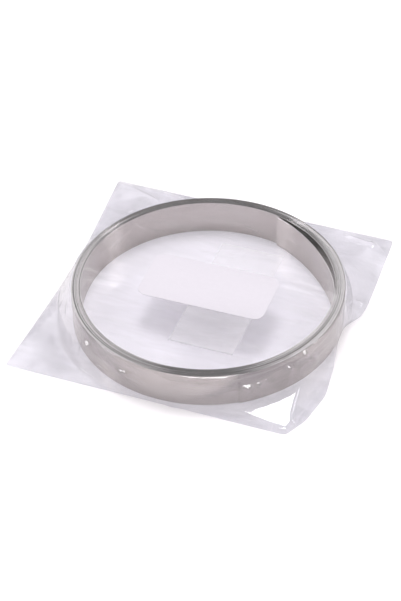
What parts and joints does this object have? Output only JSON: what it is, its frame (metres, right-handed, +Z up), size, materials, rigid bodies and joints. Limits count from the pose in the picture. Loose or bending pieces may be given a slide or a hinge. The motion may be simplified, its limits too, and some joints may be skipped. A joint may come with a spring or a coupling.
{
  "type": "nickel strip coil",
  "caption": "Coil of thin nickel-plated strip for joining battery cells, packed flat in a small clear film bag with a blank white label.",
  "frame": {"origin": "middle of the bag's underside", "axes": "+Z up out of the bag's top film, along the coil's axis; +X along the bag's bottom fold, to the right; +Y towards the bag's mouth"},
  "size_m": [0.067, 0.066, 0.0083],
  "materials": {
    "nickel": "bright satin nickel plate",
    "film": "clear film",
    "label_paper": "smooth white paper",
    "clear_tape": "clear adhesive tape"
  },
  "bodies": {
    "root": {"strip_coil": "nickel", "bag": "film", "label": "label_paper", "tape": "clear_tape"}
  },
  "joints": []
}
